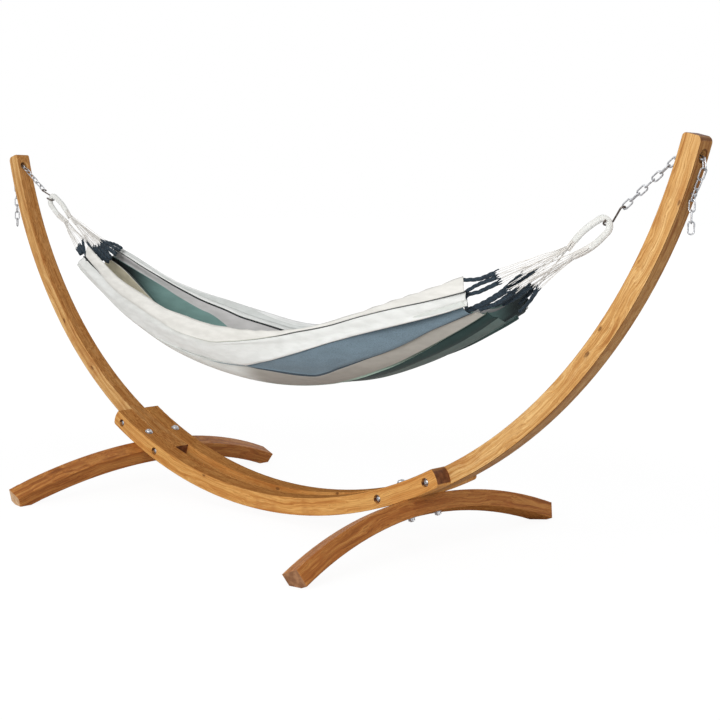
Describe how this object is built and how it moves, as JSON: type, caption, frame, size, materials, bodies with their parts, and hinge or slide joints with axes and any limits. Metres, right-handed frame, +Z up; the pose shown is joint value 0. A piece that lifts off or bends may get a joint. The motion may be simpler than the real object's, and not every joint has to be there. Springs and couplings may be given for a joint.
{
  "type": "hammock on stand",
  "caption": "Striped fabric hammock hung by chains, hooks and rope loops from a bow-shaped laminated-wood stand with arched cross feet.",
  "frame": {"origin": "on the floor, midway between the arm tips and midway between the foot ends", "axes": "+X along the stand from the left arm tip to the right one, +Y along the feet from front to rear, +Z up"},
  "size_m": [3.2008, 1.2022, 1.2501],
  "materials": {
    "beam_wood": "oiled",
    "foot_wood": "oiled",
    "zinc_steel": "zinc plated",
    "dark_steel": "dark, satin",
    "white_rope": "whipped cotton",
    "white_cord": "twisted cotton",
    "navy_braid": "braided cotton",
    "striped_cloth": "woven cotton"
  },
  "bodies": {
    "stand": {"front_side_beam": "beam_wood", "rear_side_beam": "beam_wood", "left_arm": "beam_wood", "right_arm": "beam_wood", "left_foot": "foot_wood", "right_foot": "foot_wood", "left_clamp_bolts": "zinc_steel", "right_clamp_bolts": "zinc_steel", "left_clamp_washers": "zinc_steel", "right_clamp_washers": "zinc_steel", "left_clamp_nuts": "zinc_steel", "right_clamp_nuts": "zinc_steel", "left_foot_bolts": "zinc_steel", "right_foot_bolts": "zinc_steel", "left_foot_washers": "zinc_steel", "right_foot_washers": "zinc_steel", "left_foot_nuts": "zinc_steel", "right_foot_nuts": "zinc_steel", "left_chain_fixed": "zinc_steel", "right_chain_fixed": "zinc_steel", "left_chain_pin": "dark_steel", "right_chain_screw": "dark_steel"},
    "hammock": {"left_chain_taut": "zinc_steel", "right_chain_taut": "zinc_steel", "left_s_hook": "dark_steel", "right_s_hook": "dark_steel", "left_end_loop": "white_rope", "right_end_loop": "white_rope", "left_whippings": "white_rope", "right_whippings": "white_rope", "left_headings": "navy_braid", "right_headings": "navy_braid", "left_clew_cords": "white_cord", "right_clew_cords": "white_cord", "hammock_cloth": "striped_cloth"},
    "left_tail": {"left_chain_tail": "zinc_steel"},
    "right_tail": {"right_chain_tail": "zinc_steel"}
  },
  "joints": [
    {"name": "hammock_swing", "type": "hinge", "parent": "stand", "child": "hammock", "pos_m": [0, 0, 1.18447], "axis": [1, 0, 0], "range_deg": [-30, 30]},
    {"name": "left_tail_swing", "type": "hinge", "parent": "stand", "child": "left_tail", "pos_m": [-1.59302, 0, 1.1545], "axis": [0.5736, 0.8192, 0], "range_deg": [0, 60]},
    {"name": "right_tail_swing", "type": "hinge", "parent": "stand", "child": "right_tail", "pos_m": [1.56032, 0, 1.07619], "axis": [0, -1, 0], "range_deg": [0, 60]}
  ]
}
